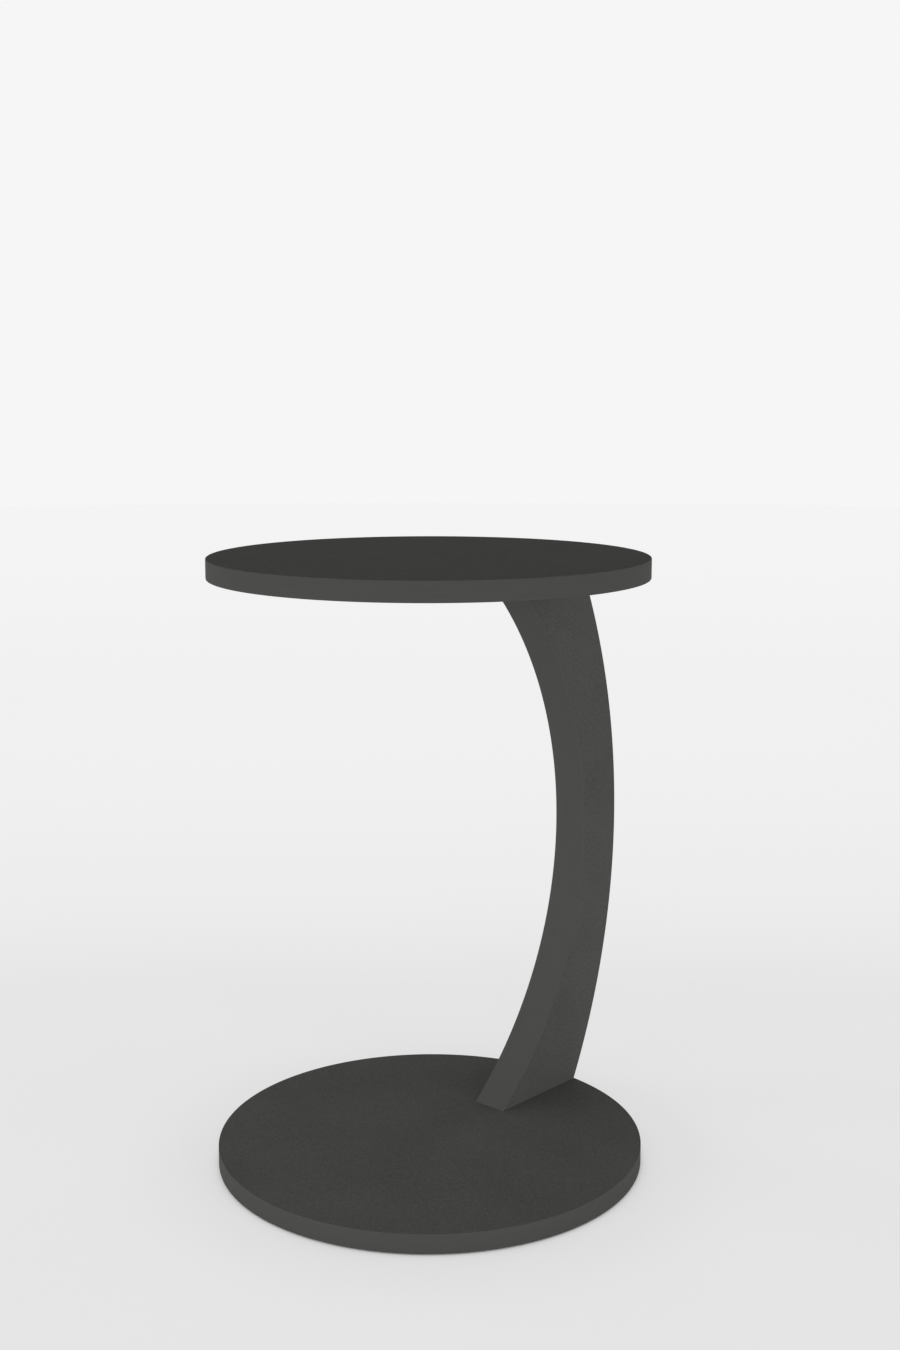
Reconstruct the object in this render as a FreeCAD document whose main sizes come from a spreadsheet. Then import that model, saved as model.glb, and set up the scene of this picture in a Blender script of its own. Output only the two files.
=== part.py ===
import FreeCAD, Part
import math
import os
import Sketcher

# A C shaped side table: a round top and a round foot of the same size, joined at one side by a bowed upright.
# All of it is coated chipboard with plastic edge bands. The upright is two boards glued face to face.
# Cams and dowels hold the top, so that nothing shows on it. Screws from below and dowels hold the foot.
# Origin: centre of the foot, on the floor. +Z is up and +X points from that centre to the upright.

# Driving sizes in millimetres: name, value, meaning
SIZES = (
    ("table_height", 572.0, "floor to the face of the top"),
    ("disc_diameter", 400.0, "top and foot, over their edge bands"),
    ("board_thickness", 18.0, "every board; the upright is two of them"),
    ("band_thickness", 1.0, "edge bands"),
    ("edge_bevel", 0.5, "scraped corners of the edge bands"),
    ("glue_line", 0.1, "glue between a board and its edge band"),
    ("leg_root_width", 112.5, "upright where it meets the top and the foot"),
    ("leg_waist_width", 51.0, "upright at mid height"),
    ("leg_bulge", 62.5, "how far the upright bows out past its own ends"),
    ("fixing_margin", 17.0, "fixings from the edges of the upright"),
    ("cam_diameter", 15.0, "bore for a cam"),
    ("cam_setback", 24.0, "cam axis from the top end of the upright"),
    ("cam_web", 1.3, "cam left beside the head of its bolt"),
    ("cam_slot_length", 8.0, "screwdriver slot in a cam"),
    ("cam_slot_width", 1.6, "screwdriver slot in a cam"),
    ("cam_slot_depth", 2.0, "screwdriver slot in a cam"),
    ("cap_lip", 1.0, "cap past the edge of the cam bore"),
    ("cap_thickness", 1.2, "cap, proud of the board"),
    ("cap_spigot", 1.0, "plug of a cap, inside the cam bore"),
    ("bolt_head_diameter", 7.0, "end of a connecting bolt that its cam hooks"),
    ("bolt_head_height", 3.0, "end of a connecting bolt that its cam hooks"),
    ("bolt_neck_diameter", 4.6, "connecting bolt, inside its cam"),
    ("bolt_shank_diameter", 7.0, "connecting bolt, inside the upright"),
    ("bolt_thread_diameter", 6.0, "connecting bolt, inside its sleeve"),
    ("bolt_play", 0.5, "round a connecting bolt in the upright"),
    ("sleeve_wall", 1.8, "threaded sleeve round its bolt"),
    ("sleeve_web", 6.0, "board left above a sleeve"),
    ("dowel_diameter", 8.0, "bore for a dowel"),
    ("dowel_length", 30.0, "dowels"),
    ("dowel_web", 7.0, "board left past a dowel"),
    ("dowel_chamfer", 1.0, "ends of a dowel"),
    ("screw_length", 50.0, "screws of the foot"),
    ("screw_diameter", 7.0, "screws of the foot"),
    ("screw_head_lip", 1.5, "head of a screw past its shank"),
    ("screw_key_width", 4.0, "hexagon socket of a screw, across flats"),
    ("screw_key_depth", 3.0, "hexagon socket of a screw"),
    ("pad_diameter", 22.0, "felt pads"),
    ("pad_thickness", 1.0, "felt pads"),
    ("pad_inset", 30.0, "pad centres from the rim of the foot"),
    ("fit_clearance", 0.1, "round a fastener in its bore"),
    ("end_clearance", 1.0, "at the end of a blind bore"),
)

# Places and sizes that follow from the driving sizes
LAYOUT = (
    ("half_board", "Sizes.board_thickness / 2"),
    ("leg_thickness", "2 * Sizes.board_thickness"),
    ("band_bevel", "min(Sizes.edge_bevel; 0.8 * Sizes.band_thickness)"),
    ("skin", "Sizes.band_thickness + Sizes.glue_line"),
    ("disc_radius", "Sizes.disc_diameter / 2"),
    ("band_bore_radius", "disc_radius - Sizes.band_thickness"),
    ("panel_diameter", "Sizes.disc_diameter - 2 * skin"),
    ("foot_level", "Sizes.pad_thickness + Sizes.board_thickness"),
    ("top_underside", "Sizes.table_height - Sizes.board_thickness"),
    ("leg_middle", "(top_underside + foot_level) / 2"),
    ("leg_half_height", "(top_underside - foot_level) / 2"),
    # The outer corners of the upright lie on the rims of the top and the foot.
    ("root_outer", "sqrt((disc_radius - band_bevel) ^ 2 - Sizes.board_thickness ^ 2)"),
    ("outer_radius", "(leg_half_height ^ 2 + Sizes.leg_bulge ^ 2) / (2 * Sizes.leg_bulge)"),
    ("outer_centre", "root_outer + Sizes.leg_bulge - outer_radius"),
    ("outer_band_back", "outer_radius - Sizes.band_thickness"),
    ("outer_board_edge", "outer_radius - skin"),
    ("inner_rise", "Sizes.leg_root_width + Sizes.leg_bulge - Sizes.leg_waist_width"),
    ("inner_radius", "(leg_half_height ^ 2 + inner_rise ^ 2) / (2 * inner_rise)"),
    ("inner_centre", "root_outer - Sizes.leg_root_width + inner_rise - inner_radius"),
    ("inner_band_back", "inner_radius + Sizes.band_thickness"),
    ("inner_board_edge", "inner_radius + skin"),
    ("screw_radius", "Sizes.screw_diameter / 2"),
    ("screw_head_radius", "screw_radius + Sizes.screw_head_lip"),
    ("screw_head_top", "Sizes.pad_thickness + Sizes.screw_head_lip"),
    ("screw_tip", "Sizes.pad_thickness + Sizes.screw_length"),
    ("screw_shoulder", "screw_tip - screw_radius"),
    ("screw_hole", "Sizes.screw_diameter + 2 * Sizes.fit_clearance"),
    ("screw_sink", "screw_hole + 2 * Sizes.screw_head_lip"),
    ("screw_bore_depth", "screw_tip - foot_level + Sizes.end_clearance"),
    ("screw_key_radius", "Sizes.screw_key_width / sqrt(3)"),
    # The upright leans outwards from its ends, so the deepest bore sets how near its edge the fixings can be.
    ("fixing_depth", "max(screw_bore_depth; Sizes.cam_setback + Sizes.cam_diameter / 2)"),
    ("edge_at_depth", "inner_centre + sqrt(inner_radius ^ 2 - (leg_half_height - fixing_depth) ^ 2)"),
    ("fixing_inner", "edge_at_depth + Sizes.fixing_margin"),
    ("fixing_outer", "root_outer - Sizes.fixing_margin"),
    ("fixing_middle", "(fixing_inner + fixing_outer) / 2"),
    ("dowel_panel_bore", "Sizes.board_thickness - Sizes.dowel_web"),
    ("dowel_leg_bore", "Sizes.dowel_length - dowel_panel_bore + 2 * Sizes.end_clearance"),
    ("dowel_size", "Sizes.dowel_diameter - 2 * Sizes.fit_clearance"),
    ("top_dowel_level", "top_underside + Sizes.end_clearance - dowel_leg_bore"),
    ("foot_dowel_level", "foot_level - dowel_panel_bore + Sizes.end_clearance"),
    ("sleeve_depth", "Sizes.board_thickness - Sizes.sleeve_web"),
    ("sleeve_top", "top_underside + sleeve_depth"),
    ("sleeve_bore_radius", "Sizes.bolt_thread_diameter / 2 + Sizes.fit_clearance"),
    ("sleeve_radius", "sleeve_bore_radius + Sizes.sleeve_wall"),
    ("sleeve_hole", "2 * (sleeve_radius + Sizes.fit_clearance)"),
    ("cam_level", "top_underside - Sizes.cam_setback"),
    ("chamber_half", "Sizes.bolt_head_diameter / 2 + 2 * Sizes.fit_clearance"),
    ("cam_bore_depth", "half_board + chamber_half + Sizes.cam_web"),
    ("cam_face", "Sizes.board_thickness - Sizes.cap_spigot - Sizes.fit_clearance"),
    ("cam_height", "cam_bore_depth - Sizes.cap_spigot - Sizes.fit_clearance"),
    ("cam_size", "Sizes.cam_diameter - 2 * Sizes.fit_clearance"),
    ("cam_outside", "Sizes.cam_diameter / 2 + Sizes.end_clearance"),
    ("cam_slot_half_length", "Sizes.cam_slot_length / 2"),
    ("cam_slot_half_width", "Sizes.cam_slot_width / 2"),
    ("chamber_width", "2 * chamber_half"),
    ("chamber_top", "2 * Sizes.fit_clearance"),
    ("neck_slot_half", "Sizes.bolt_neck_diameter / 2 + 2 * Sizes.fit_clearance"),
    ("neck_slot_width", "2 * neck_slot_half"),
    ("neck_slot_low", "half_board - neck_slot_half"),
    ("neck_slot_high", "half_board + neck_slot_half"),
    ("cap_size", "Sizes.cam_diameter + 2 * Sizes.cap_lip"),
    ("cap_round", "Sizes.cap_thickness / 2"),
    ("bolt_tail", "cam_level - Sizes.bolt_head_height"),
    ("bolt_neck_top", "cam_level + cam_outside"),
    ("bolt_tip", "sleeve_top - Sizes.end_clearance"),
    ("bolt_head_radius", "Sizes.bolt_head_diameter / 2"),
    ("bolt_neck_radius", "Sizes.bolt_neck_diameter / 2"),
    ("bolt_shank_radius", "Sizes.bolt_shank_diameter / 2"),
    ("bolt_thread_radius", "Sizes.bolt_thread_diameter / 2"),
    ("bolt_hole", "max(Sizes.bolt_head_diameter; Sizes.bolt_shank_diameter) + 2 * Sizes.bolt_play"),
    ("pad_radius", "Sizes.pad_diameter / 2"),
    ("pad_circle", "disc_radius - Sizes.pad_inset"),
)

# Felt pads round the rim of the foot, with one more at its centre
RIM_PADS = 4
FIRST_PAD_ANGLE = 45.0

doc = FreeCAD.newDocument("SideTable")


# Spreadsheets
def fill_sheet(name, rows):
    sheet = doc.addObject("Spreadsheet::Sheet", name)
    for row, (alias, content, meaning) in enumerate(rows, start=1):
        sheet.set(f"A{row}", alias)
        sheet.set(f"B{row}", content)
        sheet.set(f"C{row}", meaning)
        sheet.setAlias(f"B{row}", alias)
    doc.recompute()


fill_sheet("Sizes", [(alias, str(size), meaning) for alias, size, meaning in SIZES])
fill_sheet("Layout", [(alias, "=" + formula, "follows from the sizes") for alias, formula in LAYOUT])


def number(cell):
    """The value of a cell written as Sheet.alias, with an optional minus sign; zero stays zero."""
    if cell == "0":
        return 0.0
    sheet, alias = cell.lstrip("-").split(".")
    size = float(getattr(doc.getObject(sheet), alias))
    return -size if cell.startswith("-") else size


# Sketches
def new_sketch(body, name, plane, level="0"):
    """A sketch on one of the body's own origin planes, raised along that plane's normal to a level."""
    sketch = body.newObject("Sketcher::SketchObject", name)
    support = [feature for feature in body.Origin.OriginFeatures if feature.Role == plane][0]
    sketch.AttachmentSupport = (support, [""])
    sketch.MapMode = "FlatFace"
    if level != "0":
        sketch.setExpression("AttachmentOffset.Base.z", level)
    return sketch


def bind(sketch, kind, geometry, cell):
    """A dimension of the sketch that takes its value from a cell."""
    index = sketch.addConstraint(Sketcher.Constraint(kind, *geometry, number(cell)))
    sketch.setExpression(f"Constraints[{index}]", cell)


def place_point(sketch, curve, point, across, up):
    """Fixes a point of a curve at two cells, measured from the sketch's origin."""
    for kind, axis, cell in (("DistanceX", -2, across), ("DistanceY", -1, up)):
        if cell == "0":
            sketch.addConstraint(Sketcher.Constraint("PointOnObject", curve, point, axis))
        else:
            bind(sketch, kind, (-1, 1, curve, point), cell)


def circles_sketch(body, name, plane, level, centres, diameter):
    sketch = new_sketch(body, name, plane, level)
    for across, up in centres:
        centre = FreeCAD.Vector(number(across), number(up), 0)
        circle = Part.Circle(centre, FreeCAD.Vector(0, 0, 1), number(diameter) / 2)
        curve = sketch.addGeometry(circle, False)
        place_point(sketch, curve, 3, across, up)
        bind(sketch, "Diameter", (curve,), diameter)
    return sketch


def outline_sketch(body, name, plane, level, corners):
    """A closed outline of straight lines through corners given as pairs of cells."""
    sketch = new_sketch(body, name, plane, level)
    points = [FreeCAD.Vector(number(across), number(up), 0) for across, up in corners]
    lines = [Part.LineSegment(start, end) for start, end in zip(points, points[1:] + points[:1])]
    curves = [sketch.addGeometry(line, False) for line in lines]
    for curve, following in zip(curves, curves[1:] + curves[:1]):
        sketch.addConstraint(Sketcher.Constraint("Coincident", curve, 2, following, 1))
    for curve, (across, up) in zip(curves, corners):
        place_point(sketch, curve, 1, across, up)
    return sketch


def rectangle_sketch(body, name, plane, level, left, right, bottom, top):
    corners = [(left, bottom), (right, bottom), (right, top), (left, top)]
    return outline_sketch(body, name, plane, level, corners)


def crescent_sketch(body, name, inner, outer):
    """The space between two arcs, each given by its centre and radius, over the height of the upright."""
    sketch = new_sketch(body, name, "XZ_Plane")
    middle = number("Layout.leg_middle")
    half = number("Layout.leg_half_height")
    arcs = []
    for centre, radius in (inner, outer):
        swing = math.asin(half / number(radius))
        spot = FreeCAD.Vector(number(centre), middle, 0)
        circle = Part.Circle(spot, FreeCAD.Vector(0, 0, 1), number(radius))
        arc = sketch.addGeometry(Part.ArcOfCircle(circle, -swing, swing), False)
        place_point(sketch, arc, 3, centre, "Layout.leg_middle")
        bind(sketch, "Radius", (arc,), radius)
        arcs.append(arc)
    for arc_end, level in ((1, "Layout.foot_level"), (2, "Layout.top_underside")):
        ends = [sketch.getPoint(arc, arc_end) for arc in arcs]
        line = sketch.addGeometry(Part.LineSegment(*ends), False)
        sketch.addConstraint(Sketcher.Constraint("Coincident", line, 1, arcs[0], arc_end))
        sketch.addConstraint(Sketcher.Constraint("Coincident", line, 2, arcs[1], arc_end))
        sketch.addConstraint(Sketcher.Constraint("Horizontal", line))
        bind(sketch, "DistanceY", (-1, 1, line, 1), level)
    return sketch


# Features
def new_body(name):
    return doc.addObject("PartDesign::Body", name)


def pad(body, sketch, length, reverse=False, symmetric=False):
    feature = body.newObject("PartDesign::Pad", sketch.Name + "_pad")
    feature.Profile = sketch
    feature.Reversed = reverse
    feature.SideType = "Symmetric" if symmetric else "One side"
    feature.setExpression("Length", length)
    doc.recompute()
    return feature


def revolve(body, sketch):
    feature = body.newObject("PartDesign::Revolution", sketch.Name + "_turn")
    feature.Profile = sketch
    feature.ReferenceAxis = (sketch, ["V_Axis"])
    feature.Angle = 360.0
    doc.recompute()
    return feature


def require_cut(body, before, name):
    doc.recompute()
    if not body.Shape.Volume < before:
        raise RuntimeError(f"{name} removed nothing from {body.Label}")


def pocket(body, sketch, depth, reverse=False, symmetric=False):
    before = body.Shape.Volume
    feature = body.newObject("PartDesign::Pocket", sketch.Name + "_cut")
    feature.Profile = sketch
    feature.Reversed = reverse
    feature.SideType = "Symmetric" if symmetric else "One side"
    feature.setExpression("Length", depth)
    require_cut(body, before, feature.Name)
    return feature


def drill(body, name, level, centres, diameter, depth, upwards):
    """Upright blind bores that start at a level."""
    sketch = circles_sketch(body, name, "XY_Plane", level, centres, diameter)
    pocket(body, sketch, depth, reverse=upwards)


def dress_edges(body, base, kind, size, chosen):
    """A Fillet or a Chamfer on the edges of the last feature for which chosen is true."""
    names = [f"Edge{i}" for i, edge in enumerate(base.Shape.Edges, start=1) if chosen(edge)]
    feature = body.newObject(f"PartDesign::{kind}", f"{base.Name}_{kind.lower()}")
    feature.Base = (base, names)
    feature.setExpression("Radius" if kind == "Fillet" else "Size", size)
    doc.recompute()


def is_arc_of(radius):
    """A test for edges that are arcs of that radius."""

    def test(edge):
        return isinstance(edge.Curve, Part.Circle) and math.isclose(edge.Curve.Radius, radius, rel_tol=1e-6)

    return test


def set_out(label, master, places):
    """One node of identical pieces: a drawing and the places where it is repeated."""
    pieces = []
    for index, place in enumerate(places, start=1):
        piece = doc.addObject("App::Link", f"{label}_{index}")
        piece.LinkedObject = master
        for axis, cell in place.items():
            piece.setExpression(f"Placement.Base.{axis}", cell)
        pieces.append(piece)
    group = doc.addObject("Part::Compound", label)
    group.Links = pieces
    doc.recompute()
    return group


# Places in plan: the centre of a disc, and the fixings along the upright
CENTRE = [("0", "0")]
NEAR = "-Layout.half_board"
FAR = "Layout.half_board"
ENDS = ("Layout.fixing_inner", "Layout.fixing_outer")
MIDDLE = "Layout.fixing_middle"
SLEEVE_SPOTS = [(across, FAR) for across in ENDS]
TOP_DOWEL_SPOTS = [(across, NEAR) for across in ENDS]
FOOT_DOWEL_SPOTS = [(MIDDLE, NEAR), (MIDDLE, FAR)]
SCREW_SPOTS = [(across, side) for across in ENDS for side in (NEAR, FAR)]


# Top and foot
def make_disc(label, level):
    body = new_body(label)
    sketch = circles_sketch(body, label + "_outline", "XY_Plane", level, CENTRE,
                            "Layout.panel_diameter")
    pad(body, sketch, "Sizes.board_thickness")
    return body


def make_top_panel():
    body = make_disc("top_panel", "Layout.top_underside")
    drill(body, "sleeve_bores", "Layout.top_underside", SLEEVE_SPOTS,
          "Layout.sleeve_hole", "Layout.sleeve_depth", upwards=True)
    drill(body, "top_dowel_bores", "Layout.top_underside", TOP_DOWEL_SPOTS,
          "Sizes.dowel_diameter", "Layout.dowel_panel_bore", upwards=True)
    return body


def make_base_panel():
    body = make_disc("base_panel", "Sizes.pad_thickness")
    drill(body, "foot_dowel_bores", "Layout.foot_level", FOOT_DOWEL_SPOTS,
          "Sizes.dowel_diameter", "Layout.dowel_panel_bore", upwards=False)
    before = body.Shape.Volume
    sketch = circles_sketch(body, "screw_holes", "XY_Plane", "Sizes.pad_thickness", SCREW_SPOTS,
                            "Layout.screw_hole")
    doc.recompute()
    hole = body.newObject("PartDesign::Hole", "screw_holes_sunk")
    hole.Profile = sketch
    hole.Reversed = True
    hole.ThreadType = "None"
    hole.DepthType = "ThroughAll"
    hole.HoleCutType = "Countersink"
    hole.HoleCutCustomValues = True
    hole.HoleCutCountersinkAngle = 90.0
    hole.setExpression("Diameter", "Layout.screw_hole")
    hole.setExpression("HoleCutDiameter", "Layout.screw_sink")
    require_cut(body, before, hole.Name)
    return body


def make_disc_band(label, bottom, top):
    body = new_body(label)
    sketch = rectangle_sketch(body, label + "_section", "XZ_Plane", "0",
                              "Layout.band_bore_radius", "Layout.disc_radius", bottom, top)
    ring = revolve(body, sketch)
    dress_edges(body, ring, "Chamfer", "Layout.band_bevel", is_arc_of(number("Layout.disc_radius")))
    return body


# Upright
def make_leg_board(label, side):
    body = new_body(label)
    sketch = crescent_sketch(body, label + "_outline", ("Layout.inner_centre", "Layout.inner_board_edge"),
                             ("Layout.outer_centre", "Layout.outer_board_edge"))
    pad(body, sketch, "Sizes.board_thickness", reverse=(side == FAR))
    screw_spots = [(across, side) for across in ENDS]
    drill(body, label + "_screw_bores", "Layout.foot_level", screw_spots,
          "Layout.screw_hole", "Layout.screw_bore_depth", upwards=True)
    drill(body, label + "_dowel_bore", "Layout.foot_level", [(MIDDLE, side)],
          "Sizes.dowel_diameter", "Layout.dowel_leg_bore", upwards=True)
    return body


def make_leg_near_board():
    body = make_leg_board("leg_near_board", NEAR)
    drill(body, "near_top_dowel_bores", "Layout.top_underside", TOP_DOWEL_SPOTS,
          "Sizes.dowel_diameter", "Layout.dowel_leg_bore", upwards=False)
    return body


def make_leg_far_board():
    body = make_leg_board("leg_far_board", FAR)
    drill(body, "bolt_bores", "Layout.top_underside", SLEEVE_SPOTS,
          "Layout.bolt_hole", "Sizes.cam_setback", upwards=False)
    cam_spots = [(across, "Layout.cam_level") for across in ENDS]
    sketch = circles_sketch(body, "cam_bores", "XZ_Plane", "-Sizes.board_thickness", cam_spots,
                            "Sizes.cam_diameter")
    pocket(body, sketch, "Layout.cam_bore_depth", reverse=True)
    return body


def make_leg_band(label, inner, outer, shown_radius):
    body = new_body(label)
    sketch = crescent_sketch(body, label + "_outline", inner, outer)
    strip = pad(body, sketch, "Layout.leg_thickness", symmetric=True)
    dress_edges(body, strip, "Chamfer", "Layout.band_bevel", is_arc_of(number(shown_radius)))
    return body


def make_leg_inner_band():
    centre = "Layout.inner_centre"
    return make_leg_band("leg_inner_edge_band", (centre, "Layout.inner_radius"),
                         (centre, "Layout.inner_band_back"), "Layout.inner_radius")


def make_leg_outer_band():
    centre = "Layout.outer_centre"
    return make_leg_band("leg_outer_edge_band", (centre, "Layout.outer_band_back"),
                         (centre, "Layout.outer_radius"), "Layout.outer_radius")


# Cams, bolts, sleeves and caps, at the top of the upright
CAM_PLACES = [{"x": across, "z": "Layout.cam_level"} for across in ENDS]
BOLT_PLACES = [{"x": across, "y": FAR} for across in ENDS]


def make_cam_locks():
    body = new_body("cam_lock")
    disc = circles_sketch(body, "cam_disc", "XZ_Plane", "-Layout.cam_face", CENTRE, "Layout.cam_size")
    pad(body, disc, "Layout.cam_height")
    # The head of the bolt enters from one side and sits in a chamber at the middle.
    chamber = rectangle_sketch(body, "cam_chamber", "XZ_Plane", "-Layout.half_board",
                               "-Layout.chamber_half", "Layout.chamber_half",
                               "-Layout.cam_outside", "Layout.chamber_top")
    pocket(body, chamber, "Layout.chamber_width", symmetric=True)
    # The neck of the bolt leaves through a slot, which runs half way round so that the cam can turn.
    neck = rectangle_sketch(body, "cam_neck_slot", "XZ_Plane", "-Layout.half_board",
                            "-Layout.neck_slot_half", "Layout.neck_slot_half", "0", "Layout.cam_outside")
    pocket(body, neck, "Layout.neck_slot_width", symmetric=True)
    before = body.Shape.Volume
    section = rectangle_sketch(body, "cam_track", "XY_Plane", "0", "Layout.neck_slot_half",
                               "Layout.cam_outside", "Layout.neck_slot_low", "Layout.neck_slot_high")
    track = body.newObject("PartDesign::Groove", "cam_track_cut")
    track.Profile = section
    track.ReferenceAxis = (section, ["V_Axis"])
    track.Midplane = True
    track.Angle = 180.0
    require_cut(body, before, track.Name)
    slot = rectangle_sketch(body, "cam_drive_slot", "XZ_Plane", "-Layout.cam_face",
                            "-Layout.cam_slot_half_length", "Layout.cam_slot_half_length",
                            "-Layout.cam_slot_half_width", "Layout.cam_slot_half_width")
    pocket(body, slot, "Sizes.cam_slot_depth", reverse=True)
    return set_out("cam_locks", body, CAM_PLACES)


def make_cam_bolts():
    body = new_body("cam_bolt")
    profile = [
        ("0", "Layout.bolt_tail"),
        ("Layout.bolt_head_radius", "Layout.bolt_tail"),
        ("Layout.bolt_head_radius", "Layout.cam_level"),
        ("Layout.bolt_neck_radius", "Layout.cam_level"),
        ("Layout.bolt_neck_radius", "Layout.bolt_neck_top"),
        ("Layout.bolt_shank_radius", "Layout.bolt_neck_top"),
        ("Layout.bolt_shank_radius", "Layout.top_underside"),
        ("Layout.bolt_thread_radius", "Layout.top_underside"),
        ("Layout.bolt_thread_radius", "Layout.bolt_tip"),
        ("0", "Layout.bolt_tip"),
    ]
    revolve(body, outline_sketch(body, "bolt_profile", "XZ_Plane", "0", profile))
    return set_out("cam_bolts", body, BOLT_PLACES)


def make_bolt_inserts():
    body = new_body("bolt_insert")
    section = rectangle_sketch(body, "insert_section", "XZ_Plane", "0", "Layout.sleeve_bore_radius",
                               "Layout.sleeve_radius", "Layout.top_underside", "Layout.sleeve_top")
    revolve(body, section)
    return set_out("bolt_inserts", body, BOLT_PLACES)


def make_cam_caps():
    body = new_body("cam_cap")
    face = "-Sizes.board_thickness"
    plug = circles_sketch(body, "cap_spigot", "XZ_Plane", face, CENTRE, "Layout.cam_size")
    pad(body, plug, "Sizes.cap_spigot")
    cover = circles_sketch(body, "cap_cover", "XZ_Plane", face, CENTRE, "Layout.cap_size")
    disc = pad(body, cover, "Sizes.cap_thickness", reverse=True)
    rim = is_arc_of(number("Layout.cap_size") / 2)
    outside = number("Sizes.board_thickness") + number("Sizes.cap_thickness")
    dress_edges(body, disc, "Fillet", "Layout.cap_round",
                lambda edge: rim(edge) and math.isclose(edge.Curve.Center.y, outside, abs_tol=1e-6))
    return set_out("cam_caps", body, CAM_PLACES)


# Dowels, screws and pads
def make_wood_dowels():
    body = new_body("wood_dowel")
    sketch = circles_sketch(body, "dowel_outline", "XY_Plane", "0", CENTRE, "Layout.dowel_size")
    peg = pad(body, sketch, "Sizes.dowel_length")
    dress_edges(body, peg, "Chamfer", "Sizes.dowel_chamfer", is_arc_of(number("Layout.dowel_size") / 2))
    top = [{"x": across, "y": side, "z": "Layout.top_dowel_level"} for across, side in TOP_DOWEL_SPOTS]
    foot = [{"x": across, "y": side, "z": "Layout.foot_dowel_level"} for across, side in FOOT_DOWEL_SPOTS]
    return set_out("wood_dowels", body, top + foot)


def make_base_screws():
    body = new_body("base_screw")
    profile = [
        ("0", "Sizes.pad_thickness"),
        ("Layout.screw_head_radius", "Sizes.pad_thickness"),
        ("Layout.screw_radius", "Layout.screw_head_top"),
        ("Layout.screw_radius", "Layout.screw_shoulder"),
        ("0", "Layout.screw_tip"),
    ]
    revolve(body, outline_sketch(body, "screw_profile", "XZ_Plane", "0", profile))
    before = body.Shape.Volume
    key = body.newObject("PartDesign::SubtractivePrism", "screw_key")
    key.Polygon = 6
    key.setExpression("Circumradius", "Layout.screw_key_radius")
    key.setExpression("Height", "Sizes.screw_key_depth")
    key.setExpression("AttachmentOffset.Base.z", "Sizes.pad_thickness")
    key.AttachmentSupport = [feature for feature in body.Origin.OriginFeatures if feature.Role == "XY_Plane"]
    key.MapMode = "FlatFace"
    require_cut(body, before, key.Name)
    return set_out("base_screws", body, [{"x": across, "y": side} for across, side in SCREW_SPOTS])


def make_floor_pads():
    spots = list(CENTRE)
    for index in range(RIM_PADS):
        angle = FIRST_PAD_ANGLE + index * 360.0 / RIM_PADS
        spots.append((f"Layout.pad_circle * cos({angle} deg)", f"Layout.pad_circle * sin({angle} deg)"))
    pads = []
    for index, (across, along) in enumerate(spots, start=1):
        disc = doc.addObject("Part::Cylinder", f"floor_pad_{index}")
        disc.setExpression("Radius", "Layout.pad_radius")
        disc.setExpression("Height", "Sizes.pad_thickness")
        disc.setExpression("Placement.Base.x", across)
        disc.setExpression("Placement.Base.y", along)
        pads.append(disc)
    group = doc.addObject("Part::Compound", "floor_pads")
    group.Links = pads
    return group


sub_parts = [
    make_top_panel(),
    make_disc_band("top_edge_band", "Layout.top_underside", "Sizes.table_height"),
    make_base_panel(),
    make_disc_band("base_edge_band", "Sizes.pad_thickness", "Layout.foot_level"),
    make_leg_near_board(),
    make_leg_far_board(),
    make_leg_inner_band(),
    make_leg_outer_band(),
    make_cam_locks(),
    make_cam_bolts(),
    make_bolt_inserts(),
    make_cam_caps(),
    make_wood_dowels(),
    make_base_screws(),
    make_floor_pads(),
]
doc.recompute()

# Nothing is written unless every object is sound
for thing in doc.Objects:
    if "Invalid" in thing.State or "Error" in thing.State:
        raise RuntimeError(f"{thing.Label} failed: {thing.State}")
for sub_part in sub_parts:
    if sub_part.Shape.isNull() or not sub_part.Shape.isValid():
        raise RuntimeError(f"{sub_part.Label} has no valid shape")

os.makedirs("parts", exist_ok=True)
for sub_part in sub_parts:
    shape = sub_part.Shape
    shape.exportStep(f"parts/{sub_part.Label}.step")
    box = shape.optimalBoundingBox()
    print(f"{sub_part.Label}: {len(shape.Solids)} solids, {shape.Volume / 1000:.2f} cm3, "
          f"x {box.XMin:.1f} to {box.XMax:.1f}, y {box.YMin:.1f} to {box.YMax:.1f}, "
          f"z {box.ZMin:.1f} to {box.ZMax:.1f}")
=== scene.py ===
# %% [markdown]
# # A C shaped side table in anthracite
# The real table is flat-pack furniture. A round top and an equal round foot are joined at one side
# by a bowed upright, so that the foot slides under a sofa and the top comes over it. Every board is
# coated chipboard, and a plastic tape hides each sawn edge that shows.
# The measured model already holds every board, bore and fastener at its real size. This lesson
# loads it as a fixed frame, models again the pieces that need a finer shape, and gives all of them
# procedural materials.

# %% Load the measured model
import math

import bmesh
import bpy
from mathutils import Matrix, Vector, noise


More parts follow.
